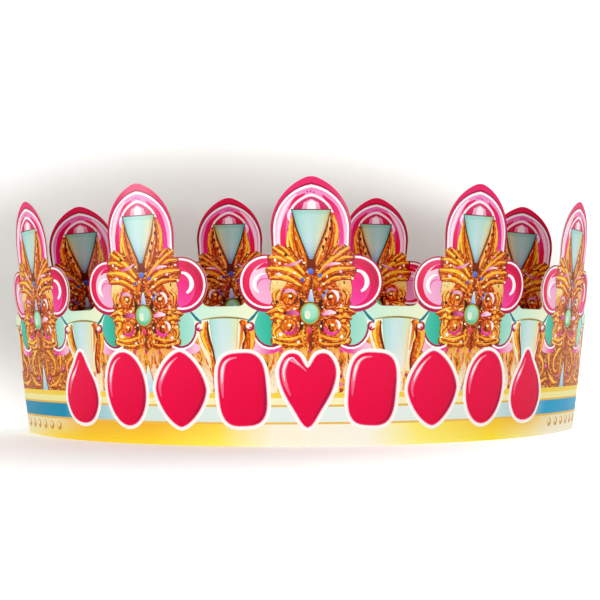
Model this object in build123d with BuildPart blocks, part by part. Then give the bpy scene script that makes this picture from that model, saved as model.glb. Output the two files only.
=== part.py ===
from math import asin, cos, degrees, hypot, pi, radians, sin, tan
import os

from build123d import *

# A child's card crown: one die-cut card band with nine arched points,
# bent into a ring, with a tight bend at each side and its ends lapped at the back.
# Millimetres, +Z up, resting on its rim. The front looks toward -Y.
# The walls lean out as a cone does. Laid flat, the band is a shallow arc,
# so each straight line up the card runs to one apex far below the floor.

# The band: its points, its card and the curve of the flat strip.
front_points = 5
back_points = 4
rim_pitch = 60.0
flat_rim_radius = 1000.0
card_thickness = 0.45

# The plan of the ring: how far the front wall turns before each side bend.
front_half_angle = radians(64.0)
side_bend_radius = 4.0

# One point of the crown, measured on the card: across, and up from the rim.
point_height = 96.6
arch_half_width = 14.4
arch_foot_height = 77.6
neck_half_width = 13.8
tip_round_radius = 6.0

# The two round lobes at the foot of each arch.
lobe_radius = 9.9
lobe_offset = 16.0
lobe_height = 58.9
lobe_foot_angle = radians(42.0)

# The level edge between two points, and how far it keeps from the lobes.
valley_height = 50.3
valley_start_gap = 0.4

# The lap that closes the ring at the back.
lap_width = 14.0
lap_height = 47.0
lap_corner_radius = 3.0
lap_rim_gap = 0.6

# Room for cuts that pass through the card.
cut_reach = 5.0
cut_side_gap = 2.0
top_margin = 4.0

# Plan sizes at the rim, worked out from the length of the strip.
half_strip_length = (front_points + back_points) * rim_pitch / 2
bend_slack = pi - front_half_angle - sin(front_half_angle)
front_radius = (half_strip_length - side_bend_radius * bend_slack) / (
    front_half_angle + sin(front_half_angle))
bend_centre_radius = front_radius - side_bend_radius
bend_centre_x = bend_centre_radius * sin(front_half_angle)
bend_centre_y = bend_centre_radius * cos(front_half_angle)
back_distance = bend_centre_y - side_bend_radius

# The lean of the front wall, and the apex that all walls run to.
front_lean = asin(front_radius / flat_rim_radius)
apex_depth = flat_rim_radius * cos(front_lean)
back_slant_length = hypot(apex_depth, back_distance)
back_rim_radius = hypot(back_slant_length, bend_centre_x)

# The ring's middle is at the origin, halfway from the front tip to the back wall.
tip_scale = 1 + point_height / flat_rim_radius
ring_centre_y = (front_radius * tip_scale + back_distance) / 2
valley_z = valley_height * apex_depth / flat_rim_radius
cut_half_width = rim_pitch * tip_scale / 2 + cut_side_gap
bend_cut_side = lobe_offset + lobe_radius + cut_side_gap / 2
bend_cut_reach = 3 * cut_reach
floor_plane = Plane(origin=(0, ring_centre_y, 0))

# The back rim's arc passes through the floor where the side bends begin.
rim_turn = asin(bend_centre_x / back_rim_radius)
rim_rise = back_rim_radius * (1 - cos(rim_turn))
rim_arc_x = back_rim_radius * sin(rim_turn)
blank_height = point_height + rim_rise + top_margin


def ring_outline(level, inset):
    """The plan of the ring at one level, moved in from the card's outer face."""
    scale = 1 + level / apex_depth
    front_arc = front_radius * scale - inset
    bend_arc = side_bend_radius * scale - inset
    bend_x = bend_centre_x * scale
    bend_y = -bend_centre_y * scale
    back_y = -back_distance * scale - inset
    start_x = front_arc * sin(front_half_angle)
    start_y = -front_arc * cos(front_half_angle)
    mid_angle = (front_half_angle + pi) / 2
    mid_x = bend_x + bend_arc * sin(mid_angle)
    mid_y = bend_y - bend_arc * cos(mid_angle)
    with BuildSketch(floor_plane.offset(level)) as outline:
        with BuildLine():
            ThreePointArc((-start_x, start_y), (0, -front_arc), (start_x, start_y))
            ThreePointArc((start_x, start_y), (mid_x, mid_y), (bend_x, back_y))
            Line((bend_x, back_y), (-bend_x, back_y))
            ThreePointArc((-bend_x, back_y), (-mid_x, mid_y), (-start_x, start_y))
        make_face()
    return outline.sketch.faces()[0]


def front_point_plane(index):
    """The plane that touches the front wall along the middle line of one point."""
    turn = index * rim_pitch / front_radius
    rim_point = (front_radius * sin(turn), ring_centre_y - front_radius * cos(turn), 0)
    outward = (cos(front_lean) * sin(turn), -cos(front_lean) * cos(turn), -sin(front_lean))
    return Plane(origin=rim_point, x_dir=(cos(turn), sin(turn), 0), z_dir=outward)


def back_point_plane(index):
    """The plane of the flat back wall, turned to one of its points.
    The index counts pitches from the middle of the back, toward +X."""
    turn = index * rim_pitch / back_rim_radius
    up_y = -back_distance / back_slant_length
    up_z = apex_depth / back_slant_length
    along = Vector(sin(turn), cos(turn) * up_y, cos(turn) * up_z)
    across = Vector(-cos(turn), sin(turn) * up_y, sin(turn) * up_z)
    apex = Vector(0, ring_centre_y, -apex_depth)
    return Plane(origin=apex + along * back_rim_radius, x_dir=across, z_dir=(0, up_z, -up_y))


# Where the waste over a side bend begins: just outside the lobes beside it.
bend_cut_turn = (front_points - 1) / 2 * rim_pitch / front_radius
lobe_scale = 1 + lobe_height / flat_rim_radius
last_back_turn = (back_points - 1) / 2 * rim_pitch / back_rim_radius
bend_cut_x = (back_rim_radius + lobe_height) * sin(last_back_turn) + bend_cut_side
bend_cut_front_x = front_radius * lobe_scale * sin(bend_cut_turn) + bend_cut_side * cos(bend_cut_turn)
bend_cut_front_y = bend_cut_side * sin(bend_cut_turn) - front_radius * lobe_scale * cos(bend_cut_turn)
bend_cut_y = bend_cut_front_y + (bend_cut_front_x - bend_cut_x) / tan(bend_cut_turn)

# The outline of one point: an arch of two arcs on a neck, and a round lobe each side.
arch_rise = point_height - arch_foot_height
arch_radius = (arch_half_width ** 2 + arch_rise ** 2) / (2 * arch_half_width)
lobe_foot_x = lobe_offset + lobe_radius * cos(lobe_foot_angle)
lobe_foot_y = lobe_height - lobe_radius * sin(lobe_foot_angle)
lobe_edge_x = lobe_offset + lobe_radius
valley_start_x = lobe_edge_x + valley_start_gap
neck_top_angle = asin((neck_half_width - lobe_offset) / lobe_radius)
neck_foot_y = lobe_height + lobe_radius * cos(neck_top_angle)

with BuildSketch() as point_shape:
    with BuildLine():
        arch_side = RadiusArc(
            (0, point_height), (arch_half_width, arch_foot_height), arch_radius)
        neck_side = Line((arch_half_width, arch_foot_height), (neck_half_width, neck_foot_y))
        lobe_side = ThreePointArc(
            (neck_half_width, neck_foot_y), (lobe_edge_x, lobe_height), (lobe_foot_x, lobe_foot_y))
        valley_side = TangentArc(
            (valley_start_x, valley_height), (lobe_foot_x, lobe_foot_y), tangent=(-1, 0))
        Polyline(
            (valley_start_x, valley_height), (2 * cut_half_width, valley_height),
            (2 * cut_half_width, 0), (0, 0), (0, point_height))
    make_face()
    mirror(about=Plane.YZ)
    tip = point_shape.vertices().sort_by(Axis.Y)[-1]
    fillet(tip, tip_round_radius)

with BuildPart() as crown_band:
    # The leaning ring of card, from the rim to above the tips.
    loft([ring_outline(0, 0), ring_outline(blank_height, 0)], ruled=True)
    loft(
        [ring_outline(0, card_thickness), ring_outline(blank_height, card_thickness)],
        ruled=True, mode=Mode.SUBTRACT)

    # The waste around each point, cut away straight through its wall.
    front_planes = [
        front_point_plane(number - (front_points - 1) / 2) for number in range(front_points)]
    back_planes = [
        back_point_plane(number - (back_points - 1) / 2) for number in range(back_points)]
    for point_plane in front_planes + back_planes:
        with BuildSketch(point_plane):
            with Locations((0, valley_height)):
                Rectangle(2 * cut_half_width, blank_height, align=(Align.CENTER, Align.MIN))
            add(point_shape.sketch, mode=Mode.SUBTRACT)
        extrude(amount=cut_reach, both=True, mode=Mode.SUBTRACT)

    # The waste over each side bend, between the points that stand beside it.
    bend_waste_height = blank_height - valley_z
    for side in (-1, 1):
        with BuildSketch(floor_plane.offset(valley_z)):
            with BuildLine():
                Polyline(
                    (side * bend_cut_x, bend_cut_y),
                    (side * (bend_cut_x + bend_cut_reach * sin(bend_cut_turn)),
                     bend_cut_y - bend_cut_reach * cos(bend_cut_turn)),
                    (side * (bend_cut_x + bend_cut_reach), bend_cut_y + bend_cut_reach),
                    (side * bend_cut_x, bend_cut_y + bend_cut_reach),
                    close=True)
            make_face()
        extrude(amount=bend_waste_height, mode=Mode.SUBTRACT)

    # The rim of the flat back rises in a shallow arc, as the strip's own curve does.
    with BuildSketch(back_point_plane(0)):
        with BuildLine():
            ThreePointArc((-rim_arc_x, -rim_rise), (0, 0), (rim_arc_x, -rim_rise))
            Polyline(
                (rim_arc_x, -rim_rise), (rim_arc_x, -2 * rim_rise - cut_reach),
                (-rim_arc_x, -2 * rim_rise - cut_reach), (-rim_arc_x, -rim_rise))
        make_face()
    extrude(amount=cut_reach, both=True, mode=Mode.SUBTRACT)

    # The lap: one end of the strip is glued over the other, outside.
    with BuildSketch(back_point_plane(0)):
        with Locations((0, lap_rim_gap)):
            Rectangle(lap_width, lap_height, align=(Align.CENTER, Align.MIN))
        fillet(vertices(), lap_corner_radius)
    extrude(amount=card_thickness)
crown_band.part.label = "crown_band"
os.makedirs("parts", exist_ok=True)
export_step(crown_band.part, "parts/crown_band.step")
print("front radius", round(front_radius, 2), "lean", round(degrees(front_lean), 2))
print(crown_band.part.bounding_box())
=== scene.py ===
import bpy
import numpy as np
from mathutils.geometry import delaunay_2d_cdt
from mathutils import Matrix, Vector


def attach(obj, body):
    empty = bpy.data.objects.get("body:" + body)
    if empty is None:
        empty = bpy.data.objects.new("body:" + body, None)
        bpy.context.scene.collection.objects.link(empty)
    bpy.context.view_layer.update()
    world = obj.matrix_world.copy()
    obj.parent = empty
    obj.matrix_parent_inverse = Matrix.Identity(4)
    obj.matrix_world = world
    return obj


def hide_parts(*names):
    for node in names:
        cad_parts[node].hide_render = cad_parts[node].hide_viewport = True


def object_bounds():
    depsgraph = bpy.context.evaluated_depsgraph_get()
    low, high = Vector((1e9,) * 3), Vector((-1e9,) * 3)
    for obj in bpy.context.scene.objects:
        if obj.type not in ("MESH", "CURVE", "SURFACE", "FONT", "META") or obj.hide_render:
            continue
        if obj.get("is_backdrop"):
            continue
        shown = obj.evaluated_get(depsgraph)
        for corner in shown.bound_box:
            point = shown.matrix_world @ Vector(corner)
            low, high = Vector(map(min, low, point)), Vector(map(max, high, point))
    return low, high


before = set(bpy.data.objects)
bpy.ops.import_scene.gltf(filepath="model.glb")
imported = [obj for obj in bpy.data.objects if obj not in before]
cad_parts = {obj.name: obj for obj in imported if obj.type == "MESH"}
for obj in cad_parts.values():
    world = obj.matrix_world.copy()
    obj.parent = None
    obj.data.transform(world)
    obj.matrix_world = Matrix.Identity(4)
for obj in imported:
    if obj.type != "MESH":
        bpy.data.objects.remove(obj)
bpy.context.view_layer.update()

# A child's paper crown: one die-cut card band, printed on both faces and bent into a ring.
# The print is drawn flat in millimetres, cut into triangles, then bent round the ring.
# Metres in Blender, +Z up. The front looks toward -Y.
mm = 0.001

card = {
    "frontPoints": 5,
    "backPoints": 4,
    "rimPitch": 60.0,          # one point's share of the rim
    "flatRimRadius": 1000.0,   # laid flat, the band is an arc of this radius
    "thickness": 0.45,
    "frontHalfAngle": 64.0,    # degrees from the middle of the front to a side bend
    "sideBendRadius": 4.0,
    "lapReach": 7.0,           # how far each end runs past the middle of the back
    "lapTop": 47.6,
    "lapFoot": 0.6,
    "lapCorner": 3.0,
    "lapRamp": 0.7,            # the outer end climbs onto the inner one in this length
    "lapGap": 1.2,             # the inner end stops this many ramps before the climb
    "lapSink": 0.05,           # share by which the lapped card is thinner, so that its faces stay apart
    "edgeRise": 0.33,          # a straight edge between two points lies this much over the band's own arc
    "rimSteps": 140,
    "trim": 0.9992,            # keeps the bent print inside the solid card's box
    "innerPaintedShade": (0.90, 0.82, 0.82),     # painted shade: the inner print's inks are dimmed for the shade inside the ring
    "innerShadeDepth": (1.3, 1.48, 1.38),    # painted shade: red, green and blue are raised to these powers, then dimmed
}
point = {
    "height": 96.6,
    "archHalfWidth": 14.4,
    "archFoot": 77.6,
    "neckHalfWidth": 13.8,
    "tipRadius": 6.0,
    "lobeRadius": 9.9,
    "lobeOffset": 16.0,
    "lobeHeight": 58.9,
    "lobeFootAngle": 42.0,
    "valley": 50.3,
    "valleyStart": 26.3,
}

# The ring that the flat band is bent to.
pitch, flatRim = card["rimPitch"], card["flatRimRadius"]
halfAngle = np.radians(card["frontHalfAngle"])
endPlace = (card["frontPoints"] + card["backPoints"]) / 2
bendSlack = np.pi - halfAngle - np.sin(halfAngle)
frontRadius = (endPlace * pitch - card["sideBendRadius"] * bendSlack) / (halfAngle + np.sin(halfAngle))
bendX = (frontRadius - card["sideBendRadius"]) * np.sin(halfAngle)
bendY = (frontRadius - card["sideBendRadius"]) * np.cos(halfAngle)
backDistance = bendY - card["sideBendRadius"]
frontLean = np.arcsin(frontRadius / flatRim)
apexDepth = flatRim * np.cos(frontLean)
backSlant = np.hypot(apexDepth, backDistance)
backRim = np.hypot(backSlant, bendX)
ringCentreY = (frontRadius * (1 + point["height"] / flatRim) + backDistance) / 2
frontEnd = halfAngle * frontRadius / pitch
backStart = endPlace - np.arcsin(bendX / backRim) * backRim / pitch


# A place is counted in points round the ring: 0 at the middle of the front.
# Each line up the card runs from the apex through the rim. The rim is a circle in front,
# a small arc at each side bend and an arc of the flat back wall.
def wallLine(place):
    side, away = np.sign(place), np.abs(place)
    frontTurn = away * pitch / frontRadius
    front = np.stack([
        flatRim * np.sin(frontLean) * np.sin(frontTurn),
        -flatRim * np.sin(frontLean) * np.cos(frontTurn),
        apexDepth + 0 * away], 1)
    bendTurn = halfAngle + np.clip((away - frontEnd) / (backStart - frontEnd), 0, 1) * (np.pi - halfAngle)
    bend = np.stack([
        bendX + card["sideBendRadius"] * np.sin(bendTurn),
        -bendY - card["sideBendRadius"] * np.cos(bendTurn),
        apexDepth + 0 * away], 1)
    backTurn = (endPlace - away) * pitch / backRim
    back = backRim * np.stack([
        np.sin(backTurn),
        -np.cos(backTurn) * backDistance / backSlant,
        np.cos(backTurn) * apexDepth / backSlant], 1)
    line = np.where((away < frontEnd)[:, None], front, np.where((away > backStart)[:, None], back, bend))
    line[:, 0] *= side + (side == 0)
    return line


# The outer end climbs by one card over the lap ramp, along a smooth step.
def lapLift(place):
    start = endPlace - card["lapReach"] / pitch
    share = np.clip((place - start) / (card["lapRamp"] / pitch), 0, 1)
    return card["thickness"] * share * share * (3 - 2 * share)


# Wall point = apex + line * (1 + height / rim radius), moved outward by the lap's lift.
def wallPoint(place, height):
    line = wallLine(place)
    rim = np.linalg.norm(line, axis=1, keepdims=True)
    step = 1e-4
    across = wallLine(place + step) - wallLine(place - step)
    outward = np.cross(across, line)
    outward /= np.linalg.norm(outward, axis=1, keepdims=True)
    apex = np.array([0, ringCentreY, -apexDepth])
    return apex + line * (1 + height[:, None] / rim) + outward * lapLift(place)[:, None]


# A flat point's turn about the arc's centre is its place, its radius its height.
# The normal is the cross product of the slopes along and up the wall.
def bendFlat(flat):
    place = np.arctan2(flat[:, 0], flat[:, 1] + flatRim) * flatRim / pitch
    height = np.hypot(flat[:, 0], flat[:, 1] + flatRim) - flatRim
    outer = wallPoint(place, height)
    step = 1e-3
    across = wallPoint(place + step, height) - wallPoint(place - step, height)
    up = wallPoint(place, height + 0.1) - wallPoint(place, height - 0.1)
    normal = np.cross(across, up)
    normal /= np.linalg.norm(normal, axis=1, keepdims=True)
    slack = 1 - card["lapSink"] * lapLift(place)[:, None] / card["thickness"]
    return place, height, outer, outer - normal * card["thickness"] * slack, normal


# Flat outlines are in millimetres, on one point's own axes.
def arcLine(x, y, radius, start, end, count):
    turn = np.radians(np.linspace(start, end, count))
    return np.stack([x + radius * np.cos(turn), y + radius * np.sin(turn)], 1)


def oval(x, y, wide, tall, count=18):
    turn = np.linspace(0, 2 * np.pi, count, endpoint=False)
    return np.stack([x + wide * np.cos(turn), y + tall * np.sin(turn)], 1)


# A smooth line through points: a Catmull-Rom spline.
def smoothLine(points, steps=4, closed=False):
    points = np.array(points, float)
    if closed:
        padded = np.vstack([points[-1:], points, points[:2]])
        spans = len(points)
    else:
        padded = np.vstack([2 * points[0] - points[1], points, 2 * points[-1] - points[-2]])
        spans = len(points) - 1
    t = np.arange(spans * steps + (not closed)) / steps
    first = np.minimum(t.astype(int), spans - 1)
    t = (t - first)[:, None]
    a, b, c, d = (padded[first + shift] for shift in range(4))
    return 0.5 * (2 * b + (c - a) * t + (2 * a - 5 * b + 4 * c - d) * t ** 2
                  + (3 * b - a - 3 * c + d) * t ** 3)


# A stroke of changing width: its smooth line moved to both sides by half the width.
def ribbon(points, widths, steps=4):
    line = smoothLine(points, steps)
    along = np.gradient(line, axis=0)
    side = np.stack([-along[:, 1], along[:, 0]], 1) / np.linalg.norm(along, axis=1, keepdims=True)
    width = np.interp(np.linspace(0, 1, len(line)), np.linspace(0, 1, len(widths)), widths)
    half = np.maximum(width, 0.04)[:, None] / 2
    return np.vstack([line - side * half, (line + side * half)[::-1]])


# A scroll: a ribbon whose line winds from one radius to another about a centre.
def scroll(x, y, radii, turns, widths, count=9):
    turn = np.radians(np.linspace(turns[0], turns[1], count))
    radius = np.linspace(radii[0], radii[1], count)
    line = np.stack([x + radius * np.cos(turn), y + radius * np.sin(turn)], 1)
    return ribbon(line, widths, 2)


def flip(outline):
    return np.array(outline, float) * [-1, 1]


def area(outline):
    ahead = np.roll(outline, -1, 0)
    return np.sum(outline[:, 0] * ahead[:, 1] - outline[:, 1] * ahead[:, 0]) / 2


# The outline moved outward, each corner along the mean of its two sides' normals.
def grow(outline, distance):
    ahead, behind = np.roll(outline, -1, 0) - outline, outline - np.roll(outline, 1, 0)
    ahead /= np.linalg.norm(ahead, axis=1, keepdims=True)
    behind /= np.linalg.norm(behind, axis=1, keepdims=True)
    both = ahead + behind
    normal = np.stack([both[:, 1], -both[:, 0]], 1) * np.sign(area(outline))
    return outline + distance * normal / np.maximum(np.linalg.norm(normal, axis=1, keepdims=True), 0.3)


# Half of a point's cut edge, from the tip down to the level edge between two points.
def pointEdge():
    rise = point["height"] - point["archFoot"]
    archRadius = (point["archHalfWidth"] ** 2 + rise ** 2) / (2 * point["archHalfWidth"])
    archX = point["archHalfWidth"] - archRadius
    tipY = point["archFoot"] + np.sqrt((archRadius - point["tipRadius"]) ** 2 - archX ** 2)
    meet = np.degrees(np.arctan2(tipY - point["archFoot"], -archX))
    neckTurn = np.degrees(np.arccos((point["neckHalfWidth"] - point["lobeOffset"]) / point["lobeRadius"]))
    footX = point["lobeOffset"] + point["lobeRadius"] * np.cos(np.radians(point["lobeFootAngle"]))
    footY = point["lobeHeight"] - point["lobeRadius"] * np.sin(np.radians(point["lobeFootAngle"]))
    overX, overY = point["valleyStart"] - footX, footY - point["valley"]
    footRadius = (overX ** 2 + overY ** 2) / (2 * overY)
    footTurn = np.degrees(np.arctan2(overY - footRadius, -overX))
    return np.vstack([
        arcLine(0, tipY, point["tipRadius"], 90, meet, 5),
        arcLine(archX, point["archFoot"], archRadius, meet, 0, 14)[1:],
        arcLine(point["lobeOffset"], point["lobeHeight"], point["lobeRadius"], neckTurn,
                -point["lobeFootAngle"], 22),
        arcLine(point["valleyStart"], point["valley"] + footRadius, footRadius,
                footTurn - 360 * (footTurn > 0), -90, 5)[1:]])


# From one point's own axes to the whole flat band: turned about the arc's centre.
def toBand(outline, place):
    outline = np.array(outline, float)
    turn = place * pitch / flatRim
    x, y = outline[:, 0], outline[:, 1] + flatRim
    return np.stack([x * np.cos(turn) + y * np.sin(turn), y * np.cos(turn) - x * np.sin(turn) - flatRim], 1)


def bandPoint(place, height):
    turn = np.array(place) * pitch / flatRim
    radius = flatRim + np.array(height)
    return np.stack([radius * np.sin(turn), radius * np.cos(turn) - flatRim], -1)


# The whole cut edge of the band, laid flat, anticlockwise.
def cardOutline():
    right = pointEdge()
    wholePoint = np.vstack([flip(right)[::-1][:-1], right])
    places = np.arange(-(endPlace - 0.5), endPlace)
    top = np.vstack([toBand(wholePoint, place) for place in places])
    reach, ramp, corner = card["lapReach"] / pitch, card["lapRamp"] / pitch, card["lapCorner"]
    tabStart, tabEnd = endPlace - reach + ramp, endPlace + reach
    turn = np.radians(np.linspace(0, 90, 6))
    tabTop = bandPoint(tabEnd - (corner - corner * np.sin(turn)) / pitch,
                       card["lapTop"] - corner + corner * np.cos(turn))
    tabFoot = bandPoint(tabEnd - (corner - corner * np.cos(turn)) / pitch,
                        card["lapFoot"] + corner - corner * np.sin(turn))
    level = point["valley"] + card["edgeRise"]
    tab = np.vstack([bandPoint([tabStart, tabStart], [level, card["lapTop"]]), tabTop,
                     tabFoot, bandPoint([tabStart, tabStart], [card["lapFoot"], 0])])
    underEnd = -endPlace - (reach - card["lapGap"] * ramp)
    rim = bandPoint(np.linspace(tabStart, underEnd, card["rimSteps"])[1:], 0)
    under = bandPoint([underEnd], [level])
    return np.vstack([top, tab, rim, under])[::-1]


def srgb(code):
    value = np.array([int(code[i:i + 2], 16) for i in (1, 3, 5)]) / 255
    return np.where(value <= 0.04045, value / 12.92, ((value + 0.055) / 1.055) ** 2.4)


# The print is a list of shapes. Each shape has two inks and the line along which one turns into the other.
# Its gilt is how much the printed gold's mottling shows in it.
shapes = []
pastEnd = 0.13  # print is laid this far past the band's ends, in points


def ink(art, outline, first, second=None, start=(0, 0), end=(0, 1), gilt=0.0):
    outline = np.array(outline, float)
    outline = outline if area(outline) > 0 else outline[::-1]
    art.append((outline, first, second or first, start, end, gilt))


def stroke(art, points, widths, first, second=None, start=(0, 0), end=(0, 1), gilt=0.0):
    ink(art, ribbon(points, widths, 3), first, second, start, end, gilt)


def lay(art, place):
    for outline, first, second, start, end, gilt in art:
        outline = toBand(outline, place)
        where = np.arctan2(outline[:, 0], outline[:, 1] + flatRim) * flatRim / pitch
        if where.min() < endPlace + pastEnd and where.max() > -endPlace - pastEnd:
            shapes.append((outline, srgb(first), srgb(second), *toBand([start, end], place), gilt))


gridStep = 1 / 9  # all stripes and bend lines share this grid of places, so their points fall together


# A stripe along the band between two heights. Its ink changes from place to place.
def stripe(low, high, stops):
    middle = (low + high) / 2
    for (fromPlace, first), (toPlace, second) in zip(stops, stops[1:]):
        places = np.arange(round(fromPlace / gridStep), round(toPlace / gridStep) + 1) * gridStep
        outline = np.vstack([bandPoint(places[::-1], high), bandPoint(places, low)])
        shapes.append((outline[::-1] if area(outline) < 0 else outline, srgb(first), srgb(second),
                       bandPoint(places[0], middle), bandPoint(places[-1], middle), 0.0))


# An arch of two arcs that meet in a tip, as the point's own edge does.
def arch(halfWidth, top, foot=60.0, count=12):
    rise = top - point["archFoot"]
    radius = (halfWidth ** 2 + rise ** 2) / (2 * halfWidth)
    meet = np.degrees(np.arctan2(rise, radius - halfWidth))
    right = np.vstack([arcLine(halfWidth - radius, point["archFoot"], radius, meet, 0, count),
                       [[halfWidth - 0.6, foot]]])
    return np.vstack([flip(right)[::-1][:-1], right])


# The printed gold, on the left and on the right of an axis.
gold = {
    -1: {"light": "#FFDA48", "mid": "#F98604", "full": "#DE4E00", "dark": "#A02A02", "deep": "#5C1604"},
    1: {"light": "#FFC03A", "mid": "#EA6202", "full": "#CC3800", "dark": "#8A2002", "deep": "#4E1004"},
}


# A leaf: a dark stroke low on one side, the gold stroke and a light stroke along its upper side.
def leaf(art, points, widths, tones, lift=(0.0, 0.25), shadow=0.4, light=0.42):
    points = np.array(points, float)
    stroke(art, points - np.array(lift) * 0.7, np.array(widths) + shadow, tones["dark"])
    stroke(art, points, widths, tones["mid"], tones["full"], points[0], points[-1], gilt=0.8)
    shone = points[:max(3, len(points) - 1)] + lift
    stroke(art, shone, np.array(widths) * light, tones["light"], tones["light"], points[0], points[-1],
           gilt=0.3)


# A volute: a gold round with a rose or blue crescent on its rim and a brown line that winds inward.
def volute(art, x, y, radius, turns, tones, rims):
    ink(art, oval(x, y, radius + 0.4, radius + 0.3, 14), tones["dark"])
    ink(art, oval(x, y, radius, radius - 0.1, 14), tones["full"], tones["mid"], (x, y - radius),
        (x, y + radius), gilt=0.9)
    for rimTurns, first, second in rims:
        ink(art, scroll(x, y, (radius - 0.2, radius - 0.2), rimTurns, (0.3, 1.2, 1.0, 0.3), 8),
            first, second, (x - radius, y - radius), (x + radius, y + radius))
    ink(art, scroll(x, y, (radius - 1.2, 0.3), turns, (0.35, 0.7, 0.5, 0.4), 10), tones["deep"])
    ink(art, oval(x + 0.2, y + 0.5, 0.7, 0.5, 7), "#FFF6C8")


# The same points on the left or the right of the axis.
def sided(points, side):
    return np.array(points, float) * [side, 1]


# Small specks of ink near the listed spots, each of a random size and ink.
def specks(art, seed, spots, inks, low=0.3, high=0.75):
    draw = np.random.default_rng(seed)
    for x, y in spots:
        wide, tall = draw.uniform(low, high, 2)
        x, y = x + draw.uniform(-0.9, 0.9), y + draw.uniform(-0.9, 0.9)
        ink(art, oval(x, y, wide, tall, 6), inks[draw.integers(len(inks))])


# The ornament under a point: pale with hanging strands in the middle of the front,
# brown with leaves elsewhere.
strands = [0.0, 5.2, 10.4, 15.4, 20.6, 26.0, 31.0]


def lowOrnament(pale):
    art = []
    panel = [(-31.6, 17.0), (31.6, 17.0), (31.6, 46.5), (-31.6, 46.5)]
    if pale:
        ink(art, panel, "#FFF8DC", "#F4A024", (0, 22), (0, 36), gilt=0.4)
        for x in strands:
            for side in (-1, 1) if x > 0 else (-1,):
                tones = gold[side]
                dark = sided([(x + 0.4, 36.5), (x + 1.6, 32.4), (x + 0.2, 28.0),
                              (x + 1.2, 23.6), (x + 0.8, 19.4)], side)
                ink(art, ribbon(dark, [0.5, 1.1, 0.7, 0.9, 0.5], 2),
                    tones["dark"], tones["full"], dark[0], dark[-1], gilt=0.8)
                for one, two, widths, points in [
                        ("full", "light", [1.9, 1.9, 1.3, 1.5, 1.0],
                         [(x - 1.0, 37.5), (x + 0.9, 33.4), (x - 0.7, 29.0), (x + 0.5, 24.6),
                          (x - 0.2, 18.8)]),
                        ("light", "mid", [0.3, 0.9, 0.3],
                         [(x + 0.9, 36.6), (x + 1.8, 31.6), (x + 0.6, 26.4)]),
                        ("full", "mid", [0.3, 1.0, 0.3],
                         [(x - 2.0, 33.6), (x - 1.9, 30.4), (x - 0.6, 27.2)]),
                        ("mid", "light", [0.3, 0.8, 0.4],
                         [(x + 1.6, 24.0), (x + 1.2, 21.4), (x + 1.9, 19.0)])]:
                    ink(art, ribbon(sided(points, side), widths, 2), tones[one], tones[two],
                        sided(points[0], side), sided(points[-1], side), gilt=1.0)
                for y, shade in [
                        (34.4, "#E0389A"), (29.6, "#8E3A0C"), (25.2, "#C01C62"), (22.2, "#F06AB4"),
                        (20.2, "#A44A0C")]:
                    ink(art, oval((x + 0.3) * side, y, 0.5, 0.9, 6), shade)
        ink(art, [(-3.6, 18.4), (3.6, 18.4), (0.3, 31.0), (-0.3, 31.0)], "#D88018", gilt=1.0)
        ink(art, [(-3.0, 18.4), (3.0, 18.4), (0.2, 29.6), (-0.2, 29.6)], "#B4DEEC", "#EEF7F2", (0, 20),
            (0, 29))
        return art
    ink(art, panel, "#A84004", "#C45C08", (-20, 28), (20, 28), gilt=1.0)
    for side in (-1, 1):
        tones = gold[side]
        for points, widths in [
                ([(1.6, 36.5), (6.5, 34.6), (10.4, 30.2), (8.8, 25.8), (5.6, 26.4), (6.0, 28.8)],
                 [1.0, 2.2, 2.2, 1.7, 1.2, 0.5]),
                ([(30, 36), (25, 33.4), (19.4, 29.6), (19.2, 25.0), (22.6, 23.8), (23.2, 26.4)],
                 [1.0, 2.2, 2.2, 1.7, 1.2, 0.5]),
                ([(12.4, 37.6), (15.0, 32.6), (13.6, 26.6)], [0.8, 2.6, 0.6]),
                ([(13.8, 25.2), (9.6, 21.8), (4.4, 21.0)], [0.7, 2.4, 0.6]),
                ([(15.2, 23.2), (21, 21.2), (28, 21.6)], [0.7, 2.4, 0.6]),
                ([(30.2, 32), (27, 28), (28.6, 23.4)], [0.6, 2.2, 0.6]),
                ([(3.0, 33.2), (3.6, 28.4), (2.2, 23.4)], [0.6, 1.5, 0.5]),
                ([(16.6, 36.6), (21.4, 36.2), (26.4, 37.4)], [0.5, 1.8, 0.5])]:
            leaf(art, sided(points, side), widths, tones)
        for x, y in [(5.2, 23.8), (16.4, 27.8), (25.6, 29.8), (12.0, 34.2)]:
            ink(art, oval(x * side, y, 1.2, 1.4, 8), "#A9124C")
            ink(art, oval(x * side - 0.2, y + 0.3, 0.75, 0.8, 7), "#F77CB8")
    ink(art, [(-3.2, 18.4), (3.2, 18.4), (0.3, 31.0), (-0.3, 31.0)], "#8E3E0E")
    ink(art, [(-2.4, 18.4), (2.4, 18.4), (0.2, 29.6), (-0.2, 29.6)], "#9CD4F0", "#E6F5F4", (0, 20), (0, 29))
    return art


# An ink between two inks, mixed in linear light.
def mixInks(first, second, share, gain=1.0):
    mixed = gain * ((1 - share) * srgb(first) + share * srgb(second))
    mixed = np.where(mixed <= 0.0031308, mixed * 12.92, 1.055 * mixed ** (1 / 2.4) - 0.055)
    return "#" + "".join(f"{int(round(value * 255)):02X}" for value in mixed)


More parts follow.
